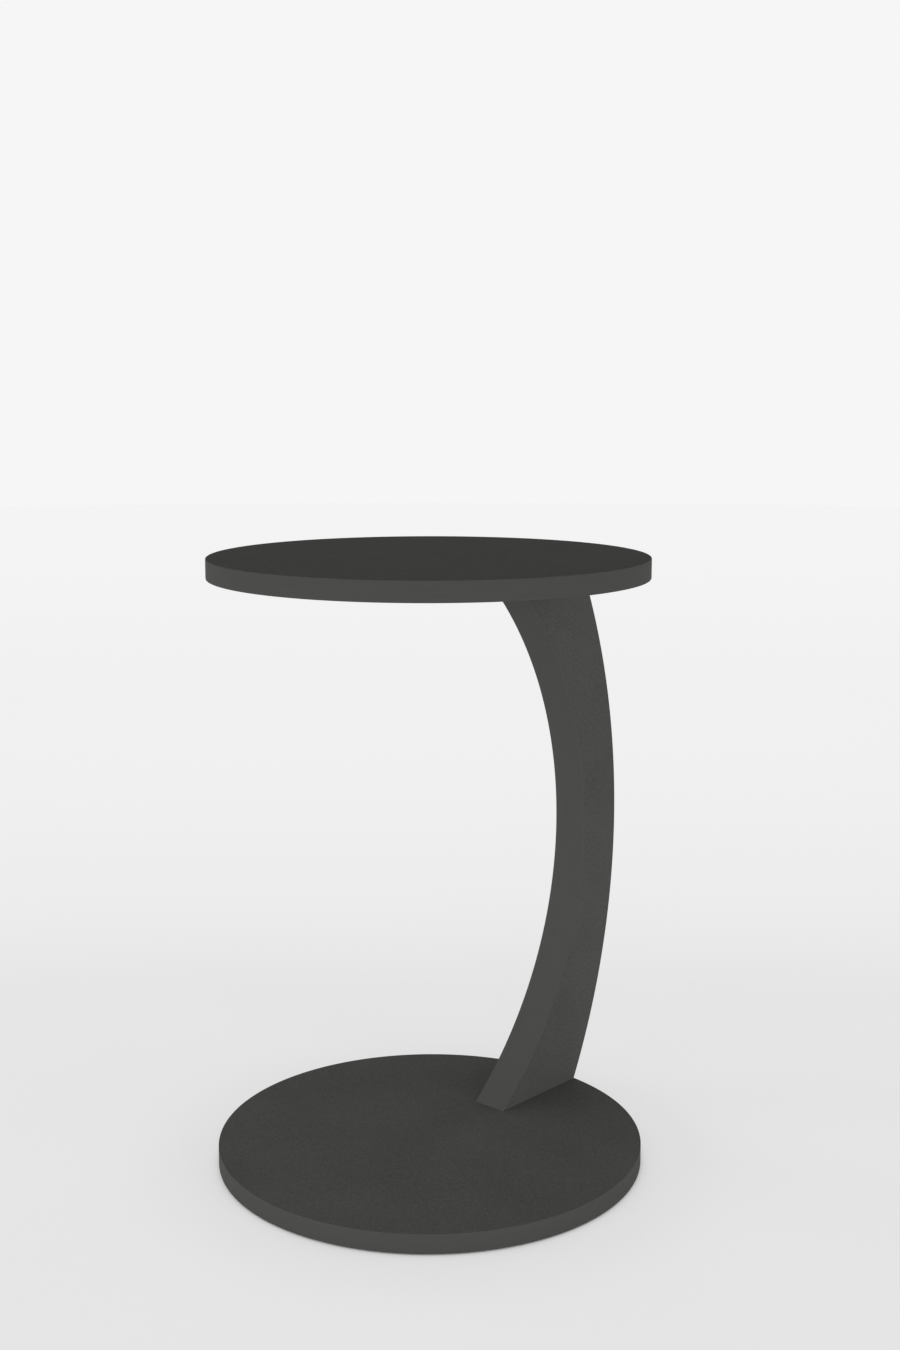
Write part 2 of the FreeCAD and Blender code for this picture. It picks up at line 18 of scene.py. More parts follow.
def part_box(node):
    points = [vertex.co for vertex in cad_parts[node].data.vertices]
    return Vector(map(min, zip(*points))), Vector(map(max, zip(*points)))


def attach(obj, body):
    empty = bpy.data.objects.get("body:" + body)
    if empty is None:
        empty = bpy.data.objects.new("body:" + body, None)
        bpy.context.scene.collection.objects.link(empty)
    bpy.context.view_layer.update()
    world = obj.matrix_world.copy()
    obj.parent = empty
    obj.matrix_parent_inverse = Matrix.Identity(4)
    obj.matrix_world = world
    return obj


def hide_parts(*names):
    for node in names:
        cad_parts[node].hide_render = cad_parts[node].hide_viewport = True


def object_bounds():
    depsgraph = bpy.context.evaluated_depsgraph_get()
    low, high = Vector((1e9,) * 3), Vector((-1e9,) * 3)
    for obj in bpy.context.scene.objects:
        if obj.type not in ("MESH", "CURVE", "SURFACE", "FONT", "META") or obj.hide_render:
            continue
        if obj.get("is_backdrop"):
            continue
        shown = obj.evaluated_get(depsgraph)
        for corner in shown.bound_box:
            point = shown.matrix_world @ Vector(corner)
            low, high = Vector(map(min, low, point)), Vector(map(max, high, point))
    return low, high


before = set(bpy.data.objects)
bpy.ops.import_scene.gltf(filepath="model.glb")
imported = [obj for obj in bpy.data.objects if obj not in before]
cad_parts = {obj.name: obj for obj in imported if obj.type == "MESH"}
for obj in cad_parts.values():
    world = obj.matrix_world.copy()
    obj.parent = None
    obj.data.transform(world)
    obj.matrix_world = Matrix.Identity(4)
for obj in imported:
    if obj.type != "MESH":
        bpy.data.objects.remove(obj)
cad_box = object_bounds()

print("nodes:", ", ".join(sorted(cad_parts)))

# %% [markdown]
# ## Sizes
# Every piece modelled here has to sit exactly where the measured model has it. Its sizes could be
# typed in again, but such copies drift apart when the model changes. So the main sizes are read from
# the boxes of the nodes, and only what a box can't tell is written down, beside the piece that needs
# it. Blender works in metres, and `MM` keeps the small sizes readable.

# %% Read the main sizes from the frame
MM = 0.001

top_low, top_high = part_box("top_edge_band")
foot_low, foot_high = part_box("base_edge_band")
upright_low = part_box("leg_near_board")[0]
upright_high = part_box("leg_far_board")[1]
rim_radius = (top_high.y - top_low.y) / 2

print(f"rim radius {rim_radius / MM:.1f} mm, top face at {top_high.z / MM:.1f} mm")
print(f"upright {(upright_high.y - upright_low.y) / MM:.1f} mm thick, from {upright_low.z / MM:.1f} mm up")

# %% [markdown]
# ## Camera
# The photographer stood a little over a metre and a half from the table, with the lens higher than
# the top and tilted down by less than ten degrees. A camera can be moved by eye until its picture
# looks alike, but a bowed shape hides small errors. So its place was worked out from the ellipses of
# the two discs and the curve of the upright. Distances are taken from the axis of the discs.

# %% Place the camera
LENS_MM = 46.65
EYE_HEIGHT = 0.7282
EYE_DISTANCE = 1.5735
EYE_SIDESTEP = 0.0191
EYE_TILT = math.radians(9.573)
EYE_TURN = math.radians(47.827)

look_along = Vector((math.sin(EYE_TURN), math.cos(EYE_TURN), 0))
to_the_right = Vector((math.cos(EYE_TURN), -math.sin(EYE_TURN), 0))

camera = bpy.data.objects.new("eye", bpy.data.cameras.new("eye"))
camera.data.lens = LENS_MM
camera.location = EYE_SIDESTEP * to_the_right - EYE_DISTANCE * look_along
camera.location.z = EYE_HEIGHT
camera.rotation_euler = (math.pi / 2 - EYE_TILT, 0, -EYE_TURN)
scene = bpy.context.scene
scene.collection.objects.link(camera)
scene.camera = camera
scene.view_settings.view_transform = "Standard"
print("camera at", [round(n, 3) for n in camera.location])

# %% [markdown]
# ## Helpers for shader nodes
# A material is a small network of nodes. In the editor they are wired by hand, and in a script each
# of them would take a handful of lines. `add` does that in one: it places a node, sets its options and
# fills its inputs, where a socket makes a link and anything else is set as a plain value. `grey` turns
# a tone as a picture editor shows it, from 0 to 255, into the linear value that shaders work with.


# %% Define the node helpers
def add(tree, kind, inputs=None, **options):
    """Places a shader node and fills its inputs with values or links."""
    node = tree.nodes.new("ShaderNode" + kind)
    for name, value in options.items():
        setattr(node, name, value)
    for name, value in (inputs or {}).items():
        if isinstance(value, bpy.types.NodeSocket):
            tree.links.new(value, node.inputs[name])
        else:
            node.inputs[name].default_value = value
    return node


def math_of(tree, operation, first, second=0.0, third=0.0, **options):
    """One arithmetic step between node sockets or numbers."""
    return add(tree, "Math", {0: first, 1: second, 2: third}, operation=operation, **options).outputs[0]


def grey(tone):
    """The linear value of a display tone from 0 to 255."""
    return ((tone / 255 + 0.055) / 1.055) ** 2.4


print(f"a display tone of 128 is {grey(128):.3f} in linear light")

# %% [markdown]
# ## Studio floor
# The table stands on pale seamless paper that melts into the background. Photographers bend the paper
# up behind the object, but this table is looked at from all sides, so here it is one big level disc.
# At the foot it takes the real shading, which keeps the dark hairline below the rim and some of the
# soft shadow round it. Further out, camera and mirror rays see more and more of a plain tone, which
# grows lighter with the distance and leaves only a faint horizon, as in the photograph. Near the table
# that plain tone is painted shade: it is darker there and stands in for part of the shadow round the
# foot. The rays that carry light always meet real paper, so the plain tone adds no light to the table.

# %% Mix the studio paper
PAPER_ALBEDO = 0.85
FAR_TONE = 246
# Painted shade: the plain tone of the paper is darker near the table.
NEAR_PAINTED_SHADE_TONE = 233
NEAR_REACH = 0.47
SIDEWAYS_SQUEEZE = 0.35
SHADOW_SHARE = 0.30
CONTACT_SHARE = 0.5
CONTACT_FADE = 80.0


def seen_by_eye_or_mirror(tree):
    """1 for rays from the camera, a mirror or glass, and 0 for the rays that carry light."""
    rays = add(tree, "LightPath")
    seen = math_of(tree, "MAXIMUM", rays.outputs["Is Camera Ray"], rays.outputs["Is Glossy Ray"])
    return math_of(tree, "MAXIMUM", seen, rays.outputs["Is Transmission Ray"])


def distance_off(tree, place, stretch):
    """How far a place lies from the middle, after it is stretched along each axis."""
    stretched = add(tree, "VectorMath", {0: place, 1: stretch}, operation="MULTIPLY").outputs[0]
    return add(tree, "VectorMath", {0: stretched}, operation="LENGTH").outputs["Value"]


def studio_paper():
    """Paper that is shaded at the table and fades into a plain tone, with painted shade near the table."""
    material = bpy.data.materials.new("studio paper")
    material.use_nodes = True
    tree = material.node_tree
    tree.nodes.clear()
    place = add(tree, "TexCoord").outputs["Object"]
    turned = add(tree, "Mapping", {"Vector": place, "Rotation": (0, 0, EYE_TURN)}).outputs[0]
    depth = distance_off(tree, turned, (SIDEWAYS_SQUEEZE, 1, 0))
    nearness = math_of(tree, "MINIMUM", math_of(tree, "DIVIDE", NEAR_REACH, depth), 1.0)
    to_rim = math_of(tree, "DIVIDE", rim_radius, distance_off(tree, turned, (1, 1, 0)))
    contact = math_of(tree, "MULTIPLY", math_of(tree, "POWER", to_rim, CONTACT_FADE), CONTACT_SHARE)
    shaded = math_of(tree, "MULTIPLY_ADD", nearness, SHADOW_SHARE, contact, use_clamp=True)
    unshaded = math_of(tree, "SUBTRACT", 1.0, shaded)
    plain = math_of(tree, "MULTIPLY", unshaded, seen_by_eye_or_mirror(tree))
    # Painted shade: the plain tone darkens towards the table and grows lighter with the distance.
    tone = math_of(tree, "MULTIPLY_ADD", nearness, grey(NEAR_PAINTED_SHADE_TONE) - grey(FAR_TONE), grey(FAR_TONE))
    paper = add(tree, "BsdfDiffuse", {"Color": (PAPER_ALBEDO, PAPER_ALBEDO, PAPER_ALBEDO, 1)})
    flat = add(tree, "Emission", {"Color": (1, 1, 1, 1), "Strength": tone})
    both = add(tree, "MixShader", {0: plain, 1: paper.outputs[0], 2: flat.outputs[0]})
    add(tree, "OutputMaterial", {"Surface": both.outputs[0]})
    return material


paper_of_floor = studio_paper()
print(paper_of_floor.name, "goes from tone", NEAR_PAINTED_SHADE_TONE, "at the table to", FAR_TONE)

# %% Lay the floor
FLOOR_RADIUS = 9.0
FLOOR_SIDES = 96
FLOOR_DROP = 0.05 * MM


def new_object(shape, name, material):
    """Turns a bmesh into an object of the scene."""
    mesh = bpy.data.meshes.new(name)
    shape.to_mesh(mesh)
    shape.free()
    mesh.materials.append(material)
    made = bpy.data.objects.new(name, mesh)
    scene.collection.objects.link(made)
    return made


disc = bmesh.new()
bmesh.ops.create_circle(disc, cap_ends=True, segments=FLOOR_SIDES, radius=FLOOR_RADIUS)
bmesh.ops.translate(disc, verts=disc.verts, vec=(0, 0, -FLOOR_DROP))
new_object(disc, "studio_floor", paper_of_floor)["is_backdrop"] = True
print("floor disc", FLOOR_RADIUS, "m in radius")

# %% [markdown]
# ## Light
# The photograph has no hard shadow, and its upright faces are lighter than its level ones. One big
# lamp overhead would give soft shadows too, but it would make the top the lightest face. So the light
# is a dim even sky and a ring of soft boxes that stand low, well outside the picture. Light that comes
# in so flat falls on the rims and the upright, reaches the foot, and hardly touches the top. Grids on
# the boxes keep their light off the paper beneath them, and those on the left are a little stronger.

# %% Light the studio
SKY_STRENGTH = 0.44
BOX_WIDTH = 1.8
BOX_TALL = 0.6
BOX_DISTANCE = 3.15
BOX_HEIGHT = 0.73
BOX_AIM = Vector((0, 0, 0.08))
BOX_GRID = math.radians(70)
BOX_WATTS = 4.2
BOX_COUNT = 8
LEAN_TO_LEFT = 0.12

world = bpy.data.worlds.new("studio")
world.use_nodes = True
scene.world = world
sky = world.node_tree
sky.nodes.clear()
backdrop = add(sky, "Background", {"Color": (*[grey(FAR_TONE)] * 3, 1), "Strength": 1.0})
dome = add(sky, "Background", {"Color": (1, 1, 1, 1), "Strength": SKY_STRENGTH})
chosen = add(sky, "MixShader", {0: seen_by_eye_or_mirror(sky), 1: dome.outputs[0], 2: backdrop.outputs[0]})
add(sky, "OutputWorld", {"Surface": chosen.outputs[0]})

for index in range(BOX_COUNT):
    bearing = 2 * math.pi * index / BOX_COUNT
    lamp = bpy.data.lights.new(f"soft_box_{index}", "AREA")
    lamp.shape = "RECTANGLE"
    lamp.size = BOX_WIDTH
    lamp.size_y = BOX_TALL
    lamp.spread = BOX_GRID
    lamp.energy = BOX_WATTS * (1 - LEAN_TO_LEFT * math.sin(bearing))
    box = bpy.data.objects.new(lamp.name, lamp)
    outward = Matrix.Rotation(bearing, 3, "Z") @ -look_along
    box.location = outward * BOX_DISTANCE + Vector((0, 0, BOX_HEIGHT))
    box.rotation_euler = (box.location - BOX_AIM).to_track_quat("Z", "Y").to_euler()
    box.visible_camera = False
    box.visible_glossy = False
    scene.collection.objects.link(box)
print(BOX_COUNT, "soft boxes at", BOX_DISTANCE, "m")

# %% [markdown]
# ## Effect: pearl texture
# Melamine film is pressed against a steel plate that leaves a fine pearl texture, and mouldings and
# castings take a like grain from their moulds. A scanned picture of it would repeat, and blur when
# seen close up, so it is made of noise. It is one node group with named inputs, which every finish can
# use at a grain of its own. A group hands out only masks and heights: the shader stays in the material.

# %% Make the pearl texture
SPECKLE_SHARE = 0.45
CLOUDS_PER_METRE = 14.0


def new_group(name, inputs, outputs):
    """An empty node group, the sockets that it is given, and the sockets that it fills."""
    group = bpy.data.node_groups.new(name, "ShaderNodeTree")
    for side, sockets in (("INPUT", inputs), ("OUTPUT", outputs)):
        for label, kind in sockets.items():
            group.interface.new_socket(label, in_out=side, socket_type="NodeSocket" + kind)
    return group, group.nodes.new("NodeGroupInput").outputs, group.nodes.new("NodeGroupOutput").inputs


def noise_of(tree, place, scale, detail, **more):
    """A noise mask that wanders about 0.5, with so many patches in a metre."""
    settings = {"Vector": place, "Scale": scale, "Detail": detail, **more}
    return add(tree, "TexNoise", settings).outputs["Fac"]


def make_pearl_texture():
    """Grain for the relief, coarser speckle for the tone, and wide faint clouds for the sheen."""
    inputs = {"Vector": "Vector", "Grains per metre": "Float"}
    outputs = {"Height": "Float", "Speckle": "Float", "Clouds": "Float"}
    group, given, result = new_group("pearl texture", inputs, outputs)
    grains = given["Grains per metre"]
    speckles = math_of(group, "MULTIPLY", grains, SPECKLE_SHARE)
    masks = {
        "Height": noise_of(group, given["Vector"], grains, detail=2.0, Roughness=0.55),
        "Speckle": noise_of(group, given["Vector"], speckles, detail=1.0),
        "Clouds": noise_of(group, given["Vector"], CLOUDS_PER_METRE, detail=3.0),
    }
    for name, mask in masks.items():
        group.links.new(mask, result[name])
    return group


pearl_texture = make_pearl_texture()
print(pearl_texture.name, "has", len(pearl_texture.nodes), "nodes")

# %% [markdown]
# ## Effect: rubbed edges
# Hands, knees and dusters polish the corners of a table first. Blender can guess where corners are
# from its Pointiness value, but that depends on how finely a mesh is divided. The pieces here are
# plain strips, so the distance from their middle line tells where the edge is. Noise breaks the mask
# into patches, because no edge wears evenly.

# %% Make the edge rub
PATCHES_PER_METRE = 90.0


def make_edge_rub():
    """A mask that rises towards an edge, in patches."""
    inputs = {"Vector": "Vector", "Off the middle": "Float", "Edge at": "Float", "Reach": "Float"}
    group, given, result = new_group("edge rub", inputs, {"Mask": "Float"})
    off_middle = math_of(group, "ABSOLUTE", given["Off the middle"])
    to_edge = math_of(group, "SUBTRACT", given["Edge at"], off_middle)
    share = math_of(group, "DIVIDE", to_edge, given["Reach"])
    near = math_of(group, "SUBTRACT", 1.0, share, use_clamp=True)
    patches = noise_of(group, given["Vector"], PATCHES_PER_METRE, detail=4.0)
    group.links.new(math_of(group, "MULTIPLY", near, patches), result["Mask"])
    return group


edge_rub = make_edge_rub()
print(edge_rub.name, "has", len(edge_rub.nodes), "nodes")

# %% [markdown]
# ## Effect: drawn lines
# Plastic tape is drawn through rollers and wood grows along its grain, so both show fine lines in one
# direction. A wave texture would give stripes of equal width, which look printed. A stretched noise
# makes uneven lines instead, with many changes per metre across them and few along them.


# %% Make the drawn lines
def make_drawn_lines():
    """Uneven lines. The stretch is the number of changes per metre along each axis."""
    inputs = {"Vector": "Vector", "Stretch": "Vector"}
    group, given, result = new_group("drawn lines", inputs, {"Lines": "Float"})
    pulled = add(group, "VectorMath", {0: given["Vector"], 1: given["Stretch"]}, operation="MULTIPLY")
    group.links.new(noise_of(group, pulled.outputs[0], 1.0, detail=3.0), result["Lines"])
    return group


drawn_lines = make_drawn_lines()
print(drawn_lines.name, "has", len(drawn_lines.nodes), "nodes")

# %% [markdown]
# ## How a finish is put together
# Every finish below takes the same steps: start a material, place the shared effects, vary the tone
# and the sheen, and raise a relief. Wired by hand, each material would repeat all of them, so each
# step is one short function. The patterns read the place on the piece in metres, and so they have
# their real size on every piece.


# %% Define the steps of a finish
def start_finish(name):
    """A new material: its node tree, its shader and the place on the piece."""
    material = bpy.data.materials.new(name)
    material.use_nodes = True
    tree = material.node_tree
    return material, tree, tree.nodes["Principled BSDF"], add(tree, "TexCoord").outputs["Object"]


def place_effect(tree, effect, place, inputs):
    """Adds a shared effect that reads the place on the piece, and returns its outputs."""
    return add(tree, "Group", {"Vector": place, **inputs}, node_tree=effect).outputs


def spread(tree, mask, limits):
    """Turns a mask from 0 to 1 into a value between two limits."""
    low, high = limits
    return math_of(tree, "MULTIPLY_ADD", mask, high - low, low)


def tint(tree, colour, factor):
    """A colour made lighter or darker by a factor near 1 that changes over the surface."""
    return add(tree, "VectorMath", {0: colour, "Scale": factor}, operation="SCALE").outputs[0]


def paint(tree, shader, tone, matt, height, depth, gloss):
    """Feeds tone, roughness and relief into the shader, and sets its gloss. The depth is in metres."""
    shader.inputs["Specular IOR Level"].default_value = gloss
    tree.links.new(tone, shader.inputs["Base Color"])
    tree.links.new(matt, shader.inputs["Roughness"])
    bump = add(tree, "Bump", {"Height": height, "Distance": depth, "Strength": 1.0})
    tree.links.new(bump.outputs[0], shader.inputs["Normal"])


steps = (start_finish, place_effect, spread, tint, paint)
print("steps of a finish:", ", ".join(step.__name__ for step in steps))

# %% [markdown]
# ## Finish: chipboard core
# Under the film, a board is chips pressed together with glue. They show only where a drill has gone
# in: in the bores and the countersinks. Noise would look like sponge there. Voronoi cells have the
# flat colours and clear borders of single chips, and a ramp gives the cells the browns of mixed wood.

# %% Mix the chip core
FLAKES_PER_METRE = 620.0
DARK_FLAKE = (0.20, 0.115, 0.055, 1)
PALE_FLAKE = (0.52, 0.36, 0.205, 1)


def make_chip_core():
    """Chips in browns, each of them a little hollow."""
    outputs = {"Colour": "Color", "Height": "Float"}
    group, given, result = new_group("chip core", {"Vector": "Vector"}, outputs)
    flakes = add(group, "TexVoronoi", {"Vector": given["Vector"], "Scale": FLAKES_PER_METRE})
    browns = add(group, "ValToRGB", {"Fac": flakes.outputs["Color"]})
    browns.color_ramp.elements[0].color = DARK_FLAKE
    browns.color_ramp.elements[1].color = PALE_FLAKE
    group.links.new(browns.outputs["Color"], result["Colour"])
    group.links.new(flakes.outputs["Distance"], result["Height"])
    return group


chip_core = make_chip_core()
print(f"chips about {1 / FLAKES_PER_METRE / MM:.1f} mm wide")

# %% [markdown]
# ## Finish: coated board
# Both faces of each board carry a thin anthracite film, matt, with a pearl texture of about half a
# millimetre. Film and bare core could be two materials on chosen faces, but the meshes of the measured
# model stay untouched. So one material holds both, and the distance from the middle of the board tells
# the film from the core. Each board has a copy of its own, because its middle lies elsewhere.

# %% Define the coat of a board
FILM_COLOUR = (0.0655, 0.0660, 0.0625)
FILM_THICKNESS = 0.15 * MM
FILM_SPECKLE = (0.65, 1.35)
FILM_CLOUDS = (0.88, 1.12)
FILM_MATT = (0.86, 0.98)
FILM_GLOSS = 0.012
PEARLS_PER_METRE = 1700.0
PEARL_DEPTH = 0.1 * MM
# Where a Mix node has its two values and its result, for each kind of value.
MIX_SOCKETS = {"FLOAT": (2, 3, 0), "RGBA": (6, 7, 2)}


def mixed(tree, kind, mask, off, on):
    """Goes from one value or colour to another with a mask."""
    first, second, result = MIX_SOCKETS[kind]
    return add(tree, "Mix", {"Factor": mask, first: off, second: on}, data_type=kind).outputs[result]


def off_the_middle(tree, place, axis, low, high):
    """How far a place lies from the middle between two levels along an axis."""
    return math_of(tree, "SUBTRACT", add(tree, "SeparateXYZ", {0: place}).outputs[axis], (low + high) / 2)


def coated_board(node, axis):
    """Anthracite film on the two faces that lie across the axis, and chips in between."""
    low, high = (corner[axis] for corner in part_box(node))
    material, tree, shader, place = start_finish("coated board, " + node.replace("_", " "))
    off_middle = math_of(tree, "ABSOLUTE", off_the_middle(tree, place, axis, low, high))
    film = math_of(tree, "GREATER_THAN", off_middle, (high - low) / 2 - FILM_THICKNESS)
    pearl = place_effect(tree, pearl_texture, place, {"Grains per metre": PEARLS_PER_METRE})
    chips = place_effect(tree, chip_core, place, {})
    speckle = spread(tree, pearl["Speckle"], FILM_SPECKLE)
    clouds = spread(tree, pearl["Clouds"], FILM_CLOUDS)
    film_tone = tint(tree, FILM_COLOUR, math_of(tree, "MULTIPLY", speckle, clouds))
    tone = mixed(tree, "RGBA", film, chips["Colour"], film_tone)
    matt = spread(tree, pearl["Clouds"], FILM_MATT)
    relief = mixed(tree, "FLOAT", film, chips["Height"], pearl["Height"])
    paint(tree, shader, tone, matt, relief, PEARL_DEPTH, FILM_GLOSS)
    return material


print(f"a film of {FILM_THICKNESS / MM:.2f} mm with {PEARLS_PER_METRE * MM:.1f} pearls per mm")

# %% Coat the boards
ALONG_Y = 1
ALONG_Z = 2


def dress(node, material):
    """Gives a node of the frame its finish."""
    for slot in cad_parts[node].material_slots:
        slot.material = material


boards = {"top_panel": ALONG_Z, "base_panel": ALONG_Z, "leg_near_board": ALONG_Y, "leg_far_board": ALONG_Y}
for node, axis in boards.items():
    dress(node, coated_board(node, axis))
    print("film on", node)

# %% [markdown]
# ## Finish: edge tape
# The tape is a solid plastic strip in the same anthracite, a touch smoother than the film. Rollers
# leave very fine lines along it, and its scraped corners shine a little where hands pass. The lines
# could follow a UV map round each strip, but the strips run straight round or straight up, so plain
# coordinates do it: the lines are close together across the tape and long in the other directions.
# It is one tape, but the upright's tape is painted a touch lighter and the rims' tape a touch darker:
# painted light on the upright, which catches less of the low light, and painted shade on the rims.

# %% Paint the edge tape
# Painted light and shade: one tape, darkened on the rims and lightened on the upright, to even out how the
# light falls on them.
DISC_TAPE_PAINTED_DARKER = (0.0627, 0.0631, 0.0597)
UPRIGHT_TAPE_PAINTED_LIGHTER = (0.0685, 0.0689, 0.0652)
TAPE_LINES = (0.86, 1.14)
TAPE_MATT = (0.78, 0.9)
TAPE_GLOSS = 0.02
TAPE_GRAINS = 900.0
TAPE_RELIEF = 0.05 * MM
TAPE_ROUNDING = 0.5 * MM
LINES_ACROSS = 2600.0
LINES_ALONG = 25.0
LINE_SHARE = 0.6
RUB_LIGHTENS = 0.12
RUB_POLISHES = 0.2


def edge_tape(name, colour, axis, low, high):
    """Plastic tape whose width lies along the axis, between two levels."""
    material, tree, shader, place = start_finish(name)
    stretch = [LINES_ALONG] * 3
    stretch[axis] = LINES_ACROSS
    lines = place_effect(tree, drawn_lines, place, {"Stretch": stretch})["Lines"]
    pearl = place_effect(tree, pearl_texture, place, {"Grains per metre": TAPE_GRAINS})
    edge = {
        "Off the middle": off_the_middle(tree, place, axis, low, high),
        "Edge at": (high - low) / 2,
        "Reach": 2 * TAPE_ROUNDING,
    }
    rub = place_effect(tree, edge_rub, place, edge)["Mask"]
    lighter = math_of(tree, "MULTIPLY_ADD", rub, RUB_LIGHTENS, spread(tree, lines, TAPE_LINES))
    matt = math_of(tree, "MULTIPLY_ADD", rub, -RUB_POLISHES, spread(tree, pearl["Clouds"], TAPE_MATT))
    relief = math_of(tree, "MULTIPLY_ADD", lines, LINE_SHARE, pearl["Height"])
    paint(tree, shader, tint(tree, colour, lighter), matt, relief, TAPE_RELIEF, TAPE_GLOSS)
    return material


top_tape = edge_tape("edge tape, top rim, painted darker", DISC_TAPE_PAINTED_DARKER, ALONG_Z, top_low.z, top_high.z)
foot_tape = edge_tape("edge tape, foot rim, painted darker", DISC_TAPE_PAINTED_DARKER, ALONG_Z, foot_low.z, foot_high.z)
upright_tape = edge_tape("edge tape, upright, painted lighter", UPRIGHT_TAPE_PAINTED_LIGHTER, ALONG_Y, upright_low.y, upright_high.y)
print(f"tape for the two rims and the upright, with {LINES_ACROSS * MM:.1f} lines per mm")

# %% [markdown]
# ## How a piece is finished
# Every piece modelled here ends the same way. Doubled points are merged, the faces are turned
# outwards, and smooth shading is split at real corners. A bevel or subdivision modifier could do the
# smoothing later, but a plain finished mesh is the same everywhere. Then the piece rides on the table,
# takes the slot of its finish, and stands in for the node of the frame that it replaces.

# %% Define how a shape becomes a piece
SMOOTH_UP_TO = math.radians(32)
MERGE_WITHIN = 0.001 * MM


def become_piece(shape, name, material, node):
    """Turns a bmesh into a named piece in place of a node of the frame."""
    bmesh.ops.remove_doubles(shape, verts=shape.verts, dist=MERGE_WITHIN)
    bmesh.ops.recalc_face_normals(shape, faces=shape.faces)
    piece = new_object(shape, name, material)
    piece.data.shade_smooth()
    piece.data.set_sharp_from_angle(angle=SMOOTH_UP_TO)
    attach(piece, "root")
    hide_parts(node)
    print(f"{name}: {len(piece.data.polygons)} faces in place of {node}")


print(f"faces that meet at up to {math.degrees(SMOOTH_UP_TO):.0f} degrees are shaded as one")

# %% [markdown]
# ## Edge tape of the discs
# The tape goes once round each disc, and its two ends meet in a butt joint at the upright's side,
# where nobody looks. Its section is a thin upright strip with two rounded outer corners. A torus or a
# scaled cylinder would have no such joint and no crisp inner edge. Spinning the section about the axis
# of the disc, and stopping a hair before the full turn, gives the ring with its joint.

# %% Model the tape of the two discs
TAPE_THICKNESS = 1.0 * MM
CORNER_STEPS = 4
RIM_STEPS = 288
JOINT_GAP = 0.12 * MM
MIDDLE = Vector((0, 0, 0))
CENTRE_LINE = Vector((0, 0, 1))


def swing(shape, angle, axis, pivot=MIDDLE):
    """Turns a whole shape about a pivot."""
    bmesh.ops.rotate(shape, cent=pivot, matrix=Matrix.Rotation(angle, 3, axis), verts=shape.verts)


def round_off(shape, items, rounding, affect):
    """Rounds the corners or the edges that are named."""
    bmesh.ops.bevel(
        shape,
        geom=items,
        offset=rounding,
        segments=CORNER_STEPS,
        profile=0.5,
        affect=affect,
        material=-1,
    )


def tape_section(shape, low, high):
    """The outline of the tape in the XZ plane, with its back at -X and its shown side at X 0."""
    bmesh.ops.create_grid(shape, x_segments=1, y_segments=1, size=0.5)
    swing(shape, math.pi / 2, "X")
    bmesh.ops.scale(shape, vec=(TAPE_THICKNESS, 1, high - low), verts=shape.verts)
    bmesh.ops.translate(shape, vec=(-TAPE_THICKNESS / 2, 0, (low + high) / 2), verts=shape.verts)
    shown = [corner for corner in shape.verts if corner.co.x > -TAPE_THICKNESS / 2]
    round_off(shape, shown, TAPE_ROUNDING, "VERTICES")
    outline = shape.edges[:]
    bmesh.ops.delete(shape, geom=shape.faces[:], context="FACES_ONLY")
    return outline


def close_ends(shape):
    """Fills the open ends of a strip."""
    bmesh.ops.holes_fill(shape, edges=[edge for edge in shape.edges if edge.is_boundary], sides=0)


def disc_tape(name, node, material):
    """The tape round one disc, with a butt joint on the upright's side."""
    low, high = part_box(node)
    shape = bmesh.new()
    outline = tape_section(shape, low.z, high.z)
    bmesh.ops.translate(shape, vec=(rim_radius, 0, 0), verts=shape.verts)
    gap = JOINT_GAP / rim_radius
    swing(shape, gap / 2, "Z")
    turn_by = 2 * math.pi - gap
    bmesh.ops.spin(shape, geom=outline, cent=MIDDLE, axis=CENTRE_LINE, angle=turn_by, steps=RIM_STEPS)
    close_ends(shape)
    become_piece(shape, name, material, node)


disc_tape("top_rim_tape", "top_edge_band", top_tape)
disc_tape("foot_rim_tape", "base_edge_band", foot_tape)

# %% [markdown]
# ## Edge tape of the upright
# Two wide strips cover the hollow and the bowed edge of the upright. A bent curve with a flat profile
# would give such strips, but their ends would be square to the curve. Here both are arcs about a level
# axis, so the same section is spun about that axis, a little too far at both ends, and cut off level
# with the top and the foot. The centre of each arc follows from the box of its node: one circle goes
# through the middle and both ends of the strip's hollow side.

# %% Model the tape of the upright
ARC_STEPS = 160
CUT_ALLOWANCE = math.radians(2)


def arc_centre(middle_x, end_x, half_height):
    """How far along X the centre lies of an arc through a middle and two ends above and below it."""
    return (middle_x**2 - end_x**2 - half_height**2) / (2 * (middle_x - end_x))


def cut_between(shape, low, high, spared=()):
    """Takes off what lies below one level or above another, but leaves the spared faces alone."""
    for level, away in ((low, -1), (high, 1)):
        faces = [face for face in shape.faces if face not in spared]
        lines = {line for face in faces for line in face.edges}
        corners = {corner for face in faces for corner in face.verts}
        bmesh.ops.bisect_plane(
            shape,
            geom=list(corners) + list(lines) + faces,
            plane_co=(0, 0, level),
            plane_no=(0, 0, away),
            dist=MERGE_WITHIN,
            clear_outer=True,
        )


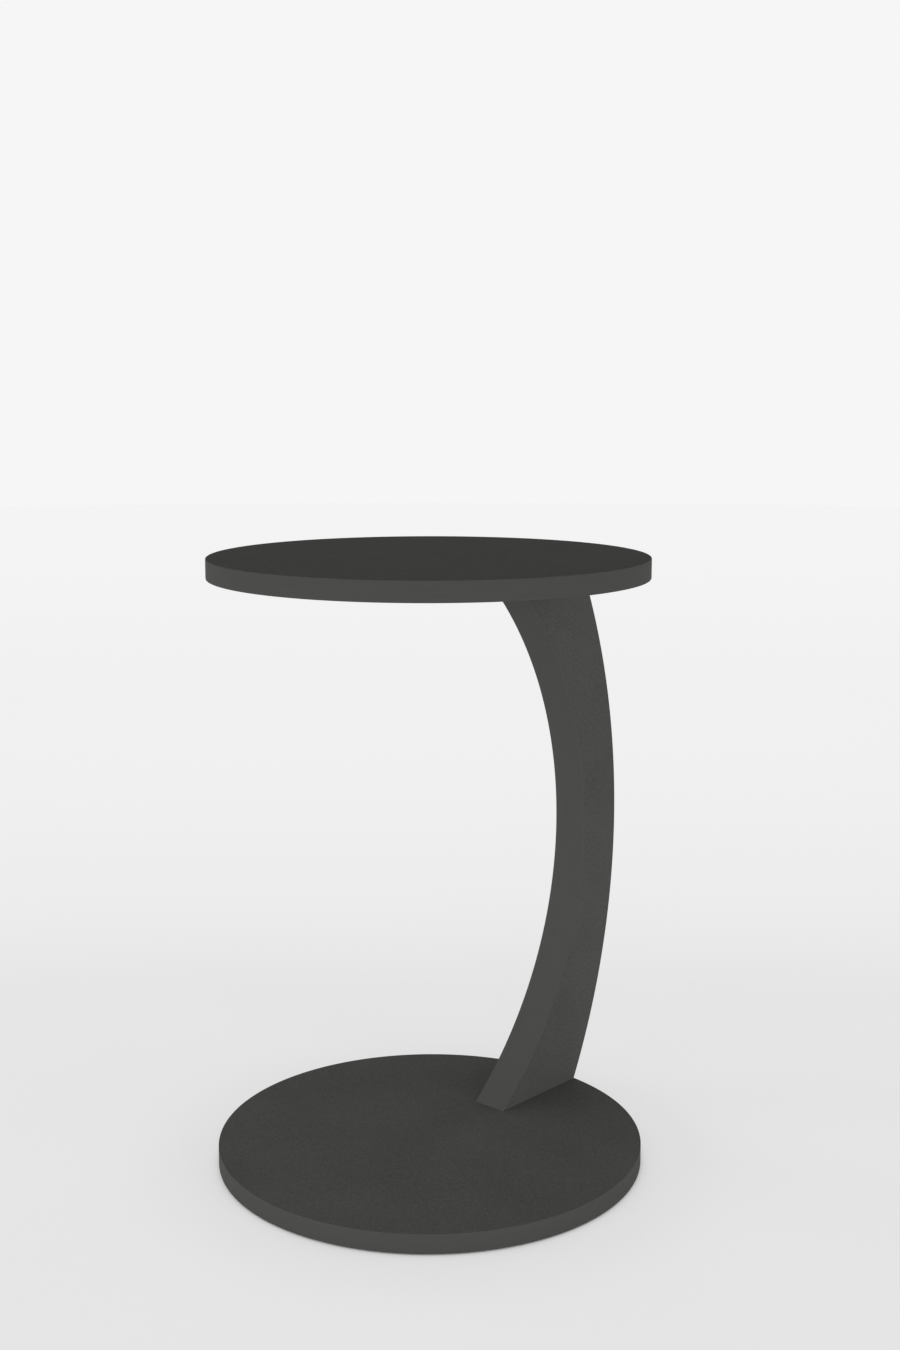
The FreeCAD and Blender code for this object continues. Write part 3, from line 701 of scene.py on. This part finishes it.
def upright_strip(name, node, shown_outside):
    """The tape on one curved edge of the upright, shown on the outside or the inside of its arc."""
    low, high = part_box(node)
    half_height = (high.z - low.z) / 2
    middle_x = high.x - TAPE_THICKNESS
    pivot = Vector((arc_centre(middle_x, low.x, half_height), 0, (low.z + high.z) / 2))
    radius = (high.x if shown_outside else middle_x) - pivot.x
    shape = bmesh.new()
    outline = tape_section(shape, low.y, high.y)
    if not shown_outside:
        bmesh.ops.scale(shape, vec=(-1, 1, 1), verts=shape.verts)
    swing(shape, -math.pi / 2, "X")
    bmesh.ops.translate(shape, vec=pivot + Vector((radius, 0, 0)), verts=shape.verts)
    half_arc = math.asin(half_height / radius) + CUT_ALLOWANCE
    swing(shape, half_arc, "Y", pivot)
    bmesh.ops.spin(shape, geom=outline, cent=pivot, axis=(0, -1, 0), angle=2 * half_arc, steps=ARC_STEPS)
    cut_between(shape, low.z, high.z)
    close_ends(shape)
    print(f"{name}: arc of {radius / MM:.1f} mm about x {pivot.x / MM:.1f} mm")
    become_piece(shape, name, upright_tape, node)


upright_strip("upright_hollow_tape", "leg_inner_edge_band", shown_outside=False)
upright_strip("upright_bowed_tape", "leg_outer_edge_band", shown_outside=True)

# %% [markdown]
# ## Finish: mouldings and metal
# The small fittings come from four trades. The caps are moulded plastic with a spark-eroded surface.
# The cams are die-cast zinc, dull and slightly cloudy. Bolts and screws are turned steel with a bright
# zinc plate, and the threaded sleeves are natural nylon. Four separate networks would differ only in
# their numbers, so one function makes all four, with a grain and a sheen for each.

# %% Paint the fittings
CAP_COLOUR = (0.0600, 0.0606, 0.0575)
CAST_ZINC_COLOUR = (0.46, 0.46, 0.45)
PLATED_COLOUR = (0.60, 0.61, 0.62)
NYLON_COLOUR = (0.70, 0.68, 0.62)
GRAIN_DEPTH = 0.015 * MM
CAP_GLOSS = 0.06
USUAL_GLOSS = 0.5


def grained(name, colour, grains, change, matt, gloss=USUAL_GLOSS, metal=0.0):
    """A moulded, cast or plated surface: so many grains per metre, and a tone and a sheen that drift."""
    material, tree, shader, place = start_finish(name)
    pearl = place_effect(tree, pearl_texture, place, {"Grains per metre": grains})
    drift = math_of(tree, "ADD", pearl["Speckle"], pearl["Clouds"])
    tone = tint(tree, colour, spread(tree, drift, (1 - change, 1 + change)))
    paint(tree, shader, tone, spread(tree, pearl["Clouds"], matt), pearl["Height"], GRAIN_DEPTH, gloss)
    shader.inputs["Metallic"].default_value = metal
    return material


cap_plastic = grained("moulded plastic", CAP_COLOUR, 2600.0, change=0.04, matt=(0.55, 0.7), gloss=CAP_GLOSS)
nylon = grained("natural nylon", NYLON_COLOUR, 1800.0, change=0.03, matt=(0.45, 0.6))
cast_zinc = grained("die-cast zinc", CAST_ZINC_COLOUR, 900.0, change=0.09, matt=(0.42, 0.62), metal=1.0)
plated_steel = grained("plated steel", PLATED_COLOUR, 3500.0, change=0.03, matt=(0.2, 0.36), metal=1.0)
dress("cam_locks", cast_zinc)
print("four finishes for the fittings; the cast cams keep their measured shape")

# %% [markdown]
# ## Where the fittings sit
# All fittings line up: the cams, the bolts, the screws and the upper dowels share two lines across the
# upright, and each sits in the middle of one of its two boards. Every fitting could be placed by its
# own box, but one pair of lines keeps them in line. The lines are read from the box of the caps,
# because a cap is round and its height in that box is its diameter.

# %% Read the lines of the fittings
cap_low, cap_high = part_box("cam_caps")
cap_radius = (cap_high.z - cap_low.z) / 2
cap_level = (cap_high.z + cap_low.z) / 2
fixing_lines = (cap_low.x + cap_radius, cap_high.x - cap_radius)
near_middle = upright_low.y / 2
far_middle = upright_high.y / 2
print("fittings at x", [round(line / MM, 1) for line in fixing_lines], "mm")
print(f"board middles at y {near_middle / MM:.1f} and {far_middle / MM:.1f} mm")

# %% [markdown]
# ## Turned shapes
# Caps, bolts, sleeves and pads are round. Blender's ready-made cylinders have no steps or rounded
# corners, so half of a section is drawn and spun about the axis, as on a lathe. A spin without a pitch
# ends where it began, and its ends are merged. Points on the axis pile up in one place, and merging
# the doubles closes the pole.

# %% Define how a shape is turned and rounded
TURN_STEPS = 64


def turn(shape, outline, steps=TURN_STEPS, turns=1, pitch=0.0):
    """Spins an outline of radius and height about the upright axis, and lifts it by a pitch per turn."""
    corners = [shape.verts.new((radius, 0, height)) for radius, height in outline]
    lines = [shape.edges.new(pair) for pair in zip(corners, corners[1:])]
    bmesh.ops.spin(
        shape,
        geom=lines,
        cent=MIDDLE,
        axis=CENTRE_LINE,
        dvec=(0, 0, pitch / steps),
        angle=2 * math.pi * turns,
        steps=steps * turns,
        use_merge=not pitch,
    )
    bmesh.ops.remove_doubles(shape, verts=shape.verts, dist=MERGE_WITHIN)


def is_at(corner, radius, height):
    """Whether a point lies at a radius and a height."""
    return math.hypot(corner.co.xy.length - radius, corner.co.z - height) < MERGE_WITHIN


def ring_of(shape, radius, height):
    """The edges of the ring at a radius and a height."""
    return [edge for edge in shape.edges if all(is_at(corner, radius, height) for corner in edge.verts)]


def round_ring(shape, radius, height, rounding):
    """Rounds the corner that runs round a turned shape."""
    round_off(shape, ring_of(shape, radius, height), rounding, "EDGES")


print(f"a full turn has {TURN_STEPS} steps, and a rounded corner {CORNER_STEPS}")

# %% [markdown]
# ## Copies
# Every fitting comes two, four or five times, always the same. An Array modifier sets copies out in a
# row, and linked objects would each be a piece of their own, but one kind of fitting is one piece
# here. So the shape is copied inside its own mesh, and each copy is moved to its spot.


# %% Define how copies are set out
def set_out(shape, spots):
    """Copies a shape from the middle to each of the spots, and takes the first one away."""
    first_corners = shape.verts[:]
    first_one = first_corners + shape.edges[:] + shape.faces[:]
    for spot in spots:
        copied = bmesh.ops.duplicate(shape, geom=first_one)["geom"]
        corners = [item for item in copied if isinstance(item, bmesh.types.BMVert)]
        bmesh.ops.translate(shape, vec=spot, verts=corners)
    bmesh.ops.delete(shape, geom=first_corners, context="VERTS")


print("fittings are copied to", len(fixing_lines), "lines, in two boards")

# %% [markdown]
# ## Caps over the cams
# Two push-in caps close the bores of the cams, on the far side of the upright. A cap is a disc with a
# slightly domed face and a rounded rim, and a short plug behind it. The plug has crush ribs that hold
# it in the bore. They could be separate boxes, but those would only overlap the plug, so a few of its
# faces are drawn out after the spin.

# %% Model the caps
CAP_DOME = 0.25 * MM
CAP_ROUNDING = 0.4 * MM
DOME_STEPS = 4
RIB_EVERY = 8
RIB_HEIGHT = 0.08 * MM


def draw_out_ribs(shape, level):
    """Draws out every few faces of the wall whose middle lies at a level."""
    middles = {face: face.calc_center_median() for face in shape.faces}
    wall = [face for face, middle in middles.items() if abs(middle.z - level) < MERGE_WITHIN]
    wall.sort(key=lambda face: math.atan2(middles[face].y, middles[face].x))
    for rib in bmesh.ops.extrude_discrete_faces(shape, faces=wall[::RIB_EVERY])["faces"]:
        outward = rib.calc_center_median() * Vector((1, 1, 0))
        bmesh.ops.translate(shape, vec=outward.normalized() * RIB_HEIGHT, verts=rib.verts)


def cover_caps():
    """Both caps, facing away from the far board. Each plug is as wide as the cam behind it."""
    thickness = cap_high.y - upright_high.y
    plug_depth = upright_high.y - cap_low.y
    cam_low, cam_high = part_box("cam_locks")
    plug_radius = (cam_high.z - cam_low.z) / 2
    shares = [step / DOME_STEPS for step in range(DOME_STEPS + 1)]
    outline = [(share * cap_radius, thickness - CAP_DOME * share**2) for share in shares]
    outline += [(cap_radius, 0), (plug_radius, 0), (plug_radius, -plug_depth), (0, -plug_depth)]
    shape = bmesh.new()
    turn(shape, outline)
    round_ring(shape, cap_radius, thickness - CAP_DOME, CAP_ROUNDING)
    draw_out_ribs(shape, -plug_depth / 2)
    swing(shape, -math.pi / 2, "X")
    set_out(shape, [(line, upright_high.y, cap_level) for line in fixing_lines])
    become_piece(shape, "cam_cover_caps", cap_plastic, "cam_caps")


cover_caps()

# %% [markdown]
# ## Threads
# A screw thread could be a Screw modifier or a bump pattern, but the modifier leaves ragged ends and
# a bump has no outline. Here it is one tooth, as long as its pitch, that is spun round the axis and
# lifted by one pitch in every turn. The bottom of each turn then lies on the top of the turn before,
# and merging them makes one unbroken skin. It is wound a little too long and cut level, so that its
# two ends can be joined to the plain parts of the bolt.

# %% Define how a thread is wound
THREAD_STEPS = 32
ROOT_ENDS = 0.35
CREST_STARTS = 0.64
CREST_ENDS = 0.71


def on_level(line, level):
    """Whether both ends of an edge lie at a height."""
    return all(abs(corner.co.z - level) < 2 * MERGE_WITHIN for corner in line.verts)


def wind_thread(shape, core, crest, pitch, low, high):
    """A thread between two heights. Returns the rims of its lower and its upper end."""
    plain_part = set(shape.faces)
    turns = math.ceil((high - low) / pitch) + 2
    tooth = ((core, 0), (core, ROOT_ENDS), (crest, CREST_STARTS), (crest, CREST_ENDS), (core, 1))
    outline = [(radius, low + (share - 1) * pitch) for radius, share in tooth]
    turn(shape, outline, THREAD_STEPS, turns, pitch)
    cut_between(shape, low, high, plain_part)
    open_lines = [line for line in shape.edges if line.is_boundary]
    return [[line for line in open_lines if on_level(line, level)] for level in (low, high)]


print(f"each turn of a thread has {THREAD_STEPS} steps")

# %% [markdown]
# ## Connecting bolts
# Each bolt is screwed into the underside of the top, and its mushroom end hangs into a cam. From the
# bottom up it is a rounded head, a slim neck that the cam grips, a plain shank in the upright, and a
# thread in the sleeve. Plain part and thread could stay two shells that overlap, but a printed or cut
# model needs one skin. So the plain part is turned, the thread is wound, and a bridge of faces joins
# the two open rims.

# %% Model the connecting bolts
BOLT_HEAD_HEIGHT = 3.0 * MM
BOLT_NECK_RADIUS = 2.3 * MM
BOLT_NECK_LENGTH = 8.5 * MM
BOLT_CORE_RADIUS = 2.3 * MM
BOLT_CREST_RADIUS = 3.0 * MM
BOLT_PITCH = 1.5 * MM
BOLT_ROUNDING = 0.5 * MM
RUN_OUT = 0.6 * MM


def new_rim(shape, radius, height, sides=THREAD_STEPS):
    """A bare ring of edges about the axis."""
    made = bmesh.ops.create_circle(shape, segments=sides, radius=radius)["verts"]
    bmesh.ops.translate(shape, vec=(0, 0, height), verts=made)
    return list({line for corner in made for line in corner.link_edges})


def close_rim(shape, rim):
    """Fills a rim with one flat face."""
    bmesh.ops.contextual_create(shape, geom=rim)


def close_tip(shape, rim, radius, height):
    """Tapers the end of a thread to a small flat tip."""
    tip_rim = new_rim(shape, radius, height)
    bmesh.ops.bridge_loops(shape, edges=rim + tip_rim)
    close_rim(shape, tip_rim)


def connecting_bolts():
    """Both bolts, in the far board's fixing lines."""
    low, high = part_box("cam_bolts")
    shank_radius = (high.y - low.y) / 2
    shoulder = low.z + BOLT_HEAD_HEIGHT
    shank_foot = shoulder + BOLT_NECK_LENGTH
    shank_end = top_low.z - RUN_OUT
    outline = (
        (0, low.z),
        (shank_radius, low.z),
        (shank_radius, shoulder),
        (BOLT_NECK_RADIUS, shoulder),
        (BOLT_NECK_RADIUS, shank_foot),
        (shank_radius, shank_foot),
        (shank_radius, shank_end),
    )
    shape = bmesh.new()
    turn(shape, outline, THREAD_STEPS)
    round_ring(shape, shank_radius, low.z, BOLT_ROUNDING)
    round_ring(shape, shank_radius, shoulder, BOLT_ROUNDING / 2)
    shank_rim = ring_of(shape, shank_radius, shank_end)
    end = high.z - BOLT_ROUNDING
    rims = wind_thread(shape, BOLT_CORE_RADIUS, BOLT_CREST_RADIUS, BOLT_PITCH, top_low.z, end)
    bmesh.ops.bridge_loops(shape, edges=shank_rim + rims[0])
    close_tip(shape, rims[1], BOLT_CORE_RADIUS - BOLT_ROUNDING, high.z)
    set_out(shape, [(line, far_middle, 0) for line in fixing_lines])
    become_piece(shape, "connecting_bolts", plated_steel, "cam_bolts")


connecting_bolts()

# %% [markdown]
# ## Threaded sleeves
# A nylon sleeve is pressed into the top for each bolt. Barbs round its outside, like a row of small
# cones, hold it in the chipboard. Stacked cones with a hole cut through them would do, but every cut
# can leave slivers. The section is a plain bore on the inside and a saw-tooth line on the outside, so
# one spin of a closed outline gives the whole sleeve.

# %% Model the sleeves
SLEEVE_BORE_RADIUS = 3.1 * MM
SLEEVE_COLLAR = 0.8 * MM
BARB_COUNT = 6
BARB_DEPTH = 0.45 * MM
BARB_FOOT_SHARE = 0.1
BARB_EDGE_SHARE = 0.2


def barbed_sleeves():
    """Both sleeves, in the underside of the top."""
    low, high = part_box("bolt_inserts")
    outside = (high.y - low.y) / 2
    inside = outside - BARB_DEPTH
    collar = low.z + SLEEVE_COLLAR
    step = (high.z - collar) / BARB_COUNT
    outline = [(SLEEVE_BORE_RADIUS, high.z), (SLEEVE_BORE_RADIUS, low.z)]
    outline += [(outside, low.z), (outside, collar)]
    for barb in range(BARB_COUNT):
        foot = collar + barb * step
        outline.append((inside, foot + BARB_FOOT_SHARE * step))
        outline.append((outside, foot + BARB_EDGE_SHARE * step))
        outline.append((inside, foot + step))
    outline.append((SLEEVE_BORE_RADIUS, high.z))
    shape = bmesh.new()
    turn(shape, outline)
    set_out(shape, [(line, far_middle, 0) for line in fixing_lines])
    become_piece(shape, "barbed_sleeves", nylon, "bolt_inserts")


barbed_sleeves()

# %% [markdown]
# ## Screws of the foot
# Four one-piece board screws come up through the foot into the upright. Seen from below, each has a
# flat countersunk head with a hexagon socket. A boolean could cut the socket, but a bridge is cleaner:
# faces between the round rim and a ring of six edges make the flat of the head, and the six edges are
# pushed in to make the socket. Above the head come a plain shoulder and a coarse thread for chipboard.

# %% Model the foot screws
SCREW_SHANK_RADIUS = 3.5 * MM
SCREW_CORE_RADIUS = 2.5 * MM
SCREW_PITCH = 3.0 * MM
SCREW_TIP_LENGTH = 3.5 * MM
SCREW_TIP_RADIUS = 0.7 * MM
HEAD_EDGE = 0.15 * MM
KEY_WIDTH = 4.0 * MM
KEY_DEPTH = 3.0 * MM
KEY_CONE = 0.6 * MM
KEY_CONE_SHARE = 0.2


def raise_rim(shape, rim, scale, lift):
    """Extrudes a rim, scales the new one about the axis, and lifts it. Returns the new rim."""
    made = bmesh.ops.extrude_edge_only(shape, edges=rim)["geom"]
    corners = [item for item in made if isinstance(item, bmesh.types.BMVert)]
    bmesh.ops.scale(shape, vec=(scale, scale, 1), verts=corners)
    bmesh.ops.translate(shape, vec=(0, 0, lift), verts=corners)
    return [item for item in made if isinstance(item, bmesh.types.BMEdge)]


def screw_head(shape, low, radius):
    """A countersunk head with a hexagon socket, up to the underside of the upright. Returns its rim."""
    key_rim = new_rim(shape, KEY_WIDTH / math.sqrt(3), low, sides=6)
    head_rim = new_rim(shape, radius - HEAD_EDGE, low)
    bmesh.ops.bridge_loops(shape, edges=key_rim + head_rim)
    key_floor = raise_rim(shape, key_rim, 1.0, KEY_DEPTH)
    close_rim(shape, raise_rim(shape, key_floor, KEY_CONE_SHARE, KEY_CONE))
    edge_rim = raise_rim(shape, head_rim, radius / (radius - HEAD_EDGE), HEAD_EDGE)
    cone_height = radius - SCREW_SHANK_RADIUS
    neck_rim = raise_rim(shape, edge_rim, SCREW_SHANK_RADIUS / radius, cone_height)
    return raise_rim(shape, neck_rim, 1.0, foot_high.z - low - HEAD_EDGE - cone_height)


def foot_screws():
    """The four screws, two in each board of the upright."""
    low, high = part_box("base_screws")
    shape = bmesh.new()
    shank_rim = screw_head(shape, low.z, fixing_lines[0] - low.x)
    start = foot_high.z + RUN_OUT
    end = high.z - SCREW_TIP_LENGTH
    rims = wind_thread(shape, SCREW_CORE_RADIUS, SCREW_SHANK_RADIUS, SCREW_PITCH, start, end)
    bmesh.ops.bridge_loops(shape, edges=shank_rim + rims[0])
    close_tip(shape, rims[1], SCREW_TIP_RADIUS, high.z)
    set_out(shape, [(line, middle, 0) for line in fixing_lines for middle in (near_middle, far_middle)])
    become_piece(shape, "foot_screws", plated_steel, "base_screws")


foot_screws()

# %% [markdown]
# ## Finish: bare beech
# The dowels are bare beech, pale, with fine grain along the peg and short dark flecks. A picture of
# wood would need a UV map on every peg. The lines of the shared effect already run along one axis, so
# one set of them makes the grain, and a shorter and denser set, cut off at a threshold, the flecks.

# %% Paint the dowels
BEECH_LIGHT = (0.60, 0.42, 0.26, 1)
BEECH_DARK = (0.46, 0.30, 0.17, 1)
BEECH_MATT = (0.6, 0.78)
BEECH_GLOSS = 0.3
GRAIN_STRETCH = (900.0, 900.0, 45.0)
FLECK_STRETCH = (1500.0, 1500.0, 260.0)
FLECK_ABOVE = 0.62


def bare_beech():
    """Pale wood with its grain along the peg."""
    material, tree, shader, place = start_finish("bare beech")
    grain = place_effect(tree, drawn_lines, place, {"Stretch": GRAIN_STRETCH})["Lines"]
    flecks = place_effect(tree, drawn_lines, place, {"Stretch": FLECK_STRETCH})["Lines"]
    darker = math_of(tree, "MAXIMUM", grain, math_of(tree, "GREATER_THAN", flecks, FLECK_ABOVE))
    tone = mixed(tree, "RGBA", darker, BEECH_LIGHT, BEECH_DARK)
    paint(tree, shader, tone, spread(tree, grain, BEECH_MATT), grain, GRAIN_DEPTH, BEECH_GLOSS)
    return material


beech = bare_beech()
print(beech.name, "has", len(beech.node_tree.nodes), "nodes")

# %% [markdown]
# ## Dowels
# Four beech dowels keep the joints from turning. A dowel has flutes along it, so that air and glue
# can escape from the bore, and chamfered ends. Cutting twenty flutes out of a cylinder would be slow.
# Instead a ring of edges is drawn in at every flute, and that ring is raised in three steps: out along
# the first chamfer, up the body, and in along the second.

# %% Model the dowels
DOWEL_LENGTH = 30.0 * MM
DOWEL_CHAMFER = 1.0 * MM
FLUTES = 20
SIDES_PER_FLUTE = 4
FLUTE_DEPTH = 0.35 * MM


def fluted_ring(shape, radius):
    """A ring of edges that is drawn in at every flute."""
    rim = new_rim(shape, radius, 0, sides=FLUTES * SIDES_PER_FLUTE)
    around = sorted(shape.verts, key=lambda corner: math.atan2(corner.co.y, corner.co.x))
    drawn_in = (radius - FLUTE_DEPTH) / radius
    bmesh.ops.scale(shape, vec=(drawn_in, drawn_in, 1), verts=around[::SIDES_PER_FLUTE])
    return rim


def fluted_dowels():
    """The upper pair in the near board, and the lower pair one in each board."""
    low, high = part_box("wood_dowels")
    radius = fixing_lines[0] - low.x
    shape = bmesh.new()
    rim = fluted_ring(shape, radius)
    end_scale = (radius - DOWEL_CHAMFER) / radius
    bmesh.ops.scale(shape, vec=(end_scale, end_scale, 1), verts=shape.verts)
    close_rim(shape, rim)
    body_foot = raise_rim(shape, rim, 1 / end_scale, DOWEL_CHAMFER)
    body_head = raise_rim(shape, body_foot, 1.0, DOWEL_LENGTH - 2 * DOWEL_CHAMFER)
    close_rim(shape, raise_rim(shape, body_head, end_scale, DOWEL_CHAMFER))
    middle_line = sum(fixing_lines) / 2
    spots = [(line, near_middle, high.z - DOWEL_LENGTH) for line in fixing_lines]
    spots += [(middle_line, middle, low.z) for middle in (near_middle, far_middle)]
    set_out(shape, spots)
    become_piece(shape, "fluted_dowels", beech, "wood_dowels")


fluted_dowels()

# %% [markdown]
# ## Finish: pressed felt
# The pads under the foot are dark pressed felt, a tangle of short fibres that scatter light and have
# next to no gloss. Hair particles could stand for the fibres, but on pads a millimetre thin they would
# be lost. A strongly distorted noise looks like matted fibres, in the colour and in the relief.

# %% Paint the felt
FELT_COLOUR = (0.05, 0.05, 0.05)
FELT_FIBRES = (0.6, 1.4)
FELT_SPECKLE = (0.85, 1.15)
FELT_MATT = (0.94, 1.0)
FELT_GLOSS = 0.05
FELT_SHEEN = 0.15
FELT_RELIEF = 0.045 * MM
FELT_GRAINS = 1200.0
FIBRES_PER_METRE = 4200.0
FIBRE_SWIRL = 2.5


def pressed_felt():
    """A tangle of short fibres in dark greys."""
    material, tree, shader, place = start_finish("pressed felt")
    fibres = noise_of(tree, place, FIBRES_PER_METRE, detail=3.0, Distortion=FIBRE_SWIRL)
    pearl = place_effect(tree, pearl_texture, place, {"Grains per metre": FELT_GRAINS})
    speckle = spread(tree, pearl["Speckle"], FELT_SPECKLE)
    change = math_of(tree, "MULTIPLY", spread(tree, fibres, FELT_FIBRES), speckle)
    matt = spread(tree, fibres, FELT_MATT)
    paint(tree, shader, tint(tree, FELT_COLOUR, change), matt, fibres, FELT_RELIEF, FELT_GLOSS)
    shader.inputs["Sheen Weight"].default_value = FELT_SHEEN
    return material


felt = pressed_felt()
print(felt.name, "has", len(felt.node_tree.nodes), "nodes")

# %% [markdown]
# ## Felt glides
# Five thin felt discs are stuck under the foot, so that it slides without a scratch. Only a hairline
# of shadow shows them in the photograph. A plain cylinder would look like a rubber stamp: cut felt has
# no crisp rim. So the rim of each disc is rounded, and every point of it wanders inwards a little, as
# a noise tells it to.

# %% Model the felt glides
PAD_RADIUS = 11.0 * MM
PAD_STEPS = 96
FELT_ROUNDING = 0.3 * MM
FELT_WANDER = 0.12 * MM
WANDER_SCALE = 900.0


def let_rims_wander(shape, middles):
    """Moves each point near the rim of its disc inwards, by up to twice the wander."""
    for corner in shape.verts:
        middle = min(middles, key=lambda spot: (corner.co - spot).length)
        outward = (corner.co - middle) * Vector((1, 1, 0))
        if outward.length > PAD_RADIUS - 2 * FELT_ROUNDING:
            inwards = 1 - noise.noise(corner.co * WANDER_SCALE)
            corner.co -= outward.normalized() * inwards * FELT_WANDER


def felt_glides():
    """One disc under the middle of the foot and four near its rim."""
    low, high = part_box("floor_pads")
    shape = bmesh.new()
    turn(shape, ((0, high.z), (PAD_RADIUS, high.z), (PAD_RADIUS, low.z), (0, low.z)), PAD_STEPS)
    for level in (low.z, high.z):
        round_ring(shape, PAD_RADIUS, level, FELT_ROUNDING)
    reach = high.x - PAD_RADIUS
    middles = [Vector((across, along, 0)) for across in (-reach, reach) for along in (-reach, reach)]
    middles.append(MIDDLE)
    set_out(shape, middles)
    let_rims_wander(shape, middles)
    become_piece(shape, "felt_glides", felt, "floor_pads")


felt_glides()

# %% [markdown]
# ## The size after the finish
# A finish must not change the table's size. The box of the measured model and the box of what shows
# now could be compared by eye, but numbers are surer, so both are printed side by side.

# %% Print both boxes
boxes = {"cad": cad_box, "visual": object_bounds()}
for name, (low, high) in boxes.items():
    print(name, "box in mm:", [round((b - a) / MM, 2) for a, b in zip(low, high)])
